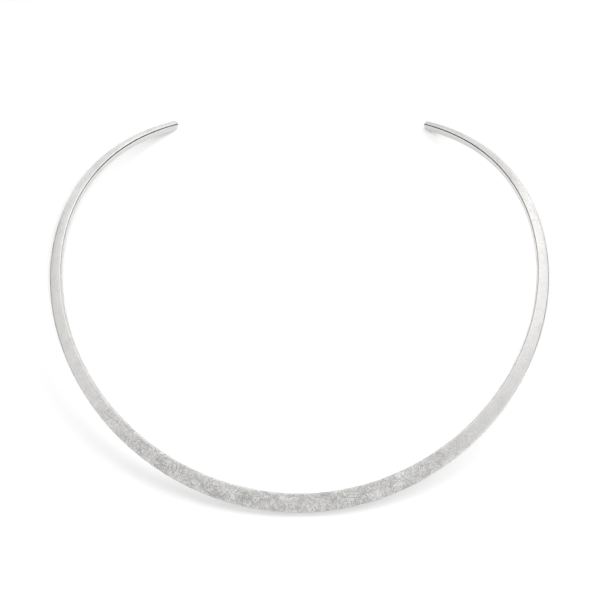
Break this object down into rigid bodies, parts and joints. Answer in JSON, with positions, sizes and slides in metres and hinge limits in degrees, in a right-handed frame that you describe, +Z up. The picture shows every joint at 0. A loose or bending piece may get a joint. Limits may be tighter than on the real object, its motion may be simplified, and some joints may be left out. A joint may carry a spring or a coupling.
{
  "type": "open collar necklace",
  "caption": "Rigid open collar necklace: one tapered, saddle-bent strip of scratch-brushed silver that stops short of closing at the nape.",
  "frame": {"origin": "on the table, under the middle of the box round the collar as it lies", "axes": "+X from the middle to the wearer's left, +Y from the front of the collar to the gap between its ends, +Z up, out of the neck opening"},
  "size_m": [0.1404, 0.1256, 0.0169],
  "materials": {
    "scratched_silver": "scratch-matt"
  },
  "bodies": {
    "root": {"collar": "scratched_silver"}
  },
  "joints": []
}
